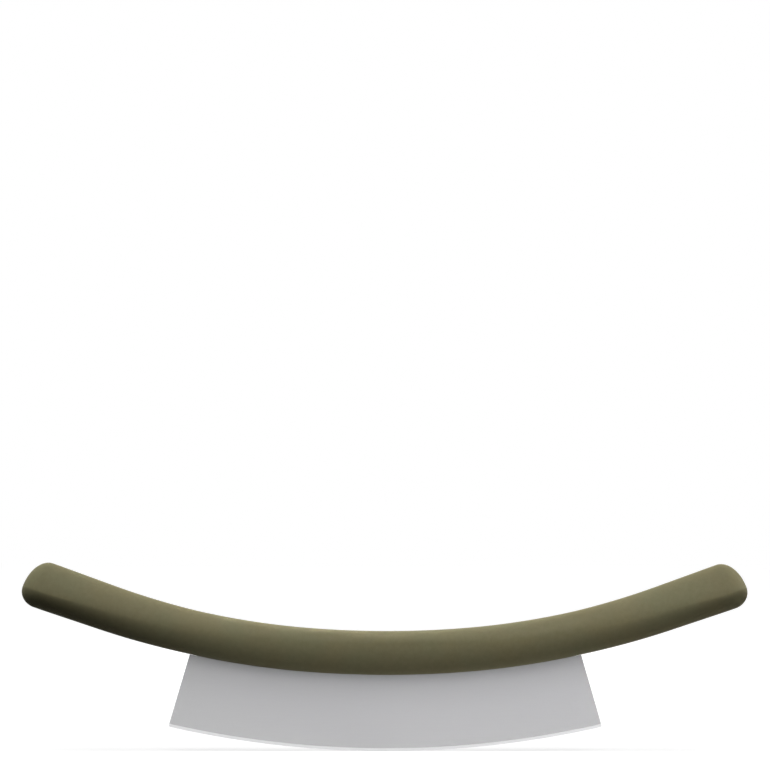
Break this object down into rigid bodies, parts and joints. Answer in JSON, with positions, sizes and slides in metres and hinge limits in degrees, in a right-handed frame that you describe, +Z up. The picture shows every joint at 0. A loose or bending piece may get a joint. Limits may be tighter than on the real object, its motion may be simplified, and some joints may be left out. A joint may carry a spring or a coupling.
{
  "type": "rocking pizza knife",
  "caption": "Two-handed rocking knife: a wide steel blade with a curved cutting edge under a long upswept soft-touch handle that runs past the blade on both sides.",
  "frame": {"origin": "lowest point of the cutting edge, midway along the blade and in the middle of its thickness", "axes": "+X to the right along the handle, -Y towards the front seen in the picture, +Z up from the cutting edge to the handle"},
  "size_m": [0.38, 0.0264, 0.098],
  "materials": {
    "stainless_steel": "satin, finely ground lengthways, with a brighter ground edge",
    "glass_filled_nylon": "moulded, glass filled, black",
    "rivet_steel": "turned stainless steel",
    "screw_steel": "zinc-plated steel",
    "olive_soft_touch": "moulded soft-touch elastomer, matte olive green"
  },
  "bodies": {
    "root": {"blade": "stainless_steel", "front_core": "glass_filled_nylon", "rear_core": "glass_filled_nylon", "rivet_tubes": "rivet_steel", "rivet_pins": "rivet_steel", "arm_screws": "screw_steel", "grip_skin": "olive_soft_touch"}
  },
  "joints": []
}
